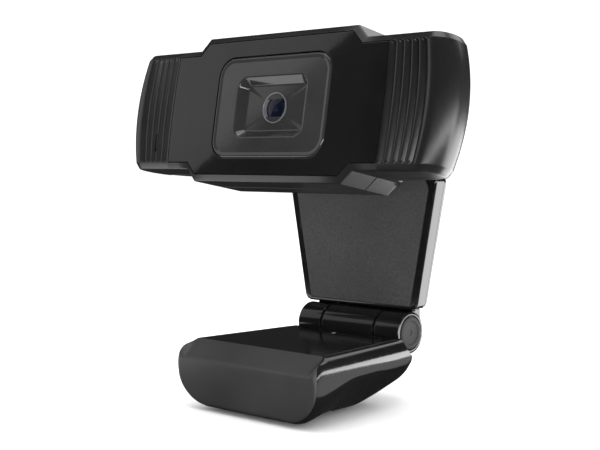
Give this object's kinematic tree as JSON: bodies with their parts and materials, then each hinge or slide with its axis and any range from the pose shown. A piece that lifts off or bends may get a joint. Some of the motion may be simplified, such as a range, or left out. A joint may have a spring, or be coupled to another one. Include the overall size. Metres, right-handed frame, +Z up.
{
  "type": "webcam",
  "caption": "Wide webcam head that tilts on an upright arm, hinged to a short foot that stands on a desk or clips over a screen edge.",
  "frame": {"origin": "centre of the bounding box's base, on the surface that the foot stands on", "axes": "+X to the right as seen from in front of the lens, -Y the way the lens looks, +Z up"},
  "size_m": [0.08, 0.038, 0.071],
  "materials": {
    "gloss_black": "polished moulded plastic",
    "satin_black": "satin moulded plastic",
    "panel": "polished panel",
    "dish": "semi-gloss grey-black",
    "pad": "fine grained pad",
    "rubber": "matt rubber",
    "steel": "plated steel",
    "washer": "blackened spring steel",
    "lens_rim": "light grey ring",
    "lens_glass": "coated lens",
    "chip": "sensor package",
    "board": "printed circuit board"
  },
  "bodies": {
    "foot": {"foot_shell": "gloss_black", "front_cap": "satin_black", "foot_lid": "gloss_black", "foot_grip_front": "rubber", "foot_grip_rear": "rubber", "foot_screw_left": "steel", "foot_screw_right": "steel"},
    "arm": {"arm_shell": "satin_black", "arm_back": "gloss_black", "grip_pad": "pad", "arm_screw_lower": "steel", "arm_screw_upper": "steel", "clip_pin": "steel", "clip_washer_left": "washer", "clip_washer_right": "washer", "hinge_cap_left": "satin_black", "hinge_cap_right": "satin_black", "tilt_pin": "steel", "tilt_washer_left": "washer", "tilt_washer_right": "washer"},
    "head": {"front_cover": "satin_black", "rear_cover": "gloss_black", "front_panel": "panel", "lens_bezel": "dish", "lens_barrel": "lens_rim", "lens_glass": "lens_glass", "lens_holder": "satin_black", "image_sensor": "chip", "main_board": "board", "microphone": "steel", "cable_inlet": "rubber", "head_screw_left": "steel", "head_screw_right": "steel"}
  },
  "joints": [
    {"name": "clip_hinge", "type": "hinge", "parent": "foot", "child": "arm", "pos_m": [0, 0.0145, 0.01355], "axis": [1, 0, 0], "range_deg": [-80, 40]},
    {"name": "head_tilt", "type": "hinge", "parent": "arm", "child": "head", "pos_m": [0, 0.0145, 0.04995], "axis": [1, 0, 0], "range_deg": [-30, 15]}
  ]
}
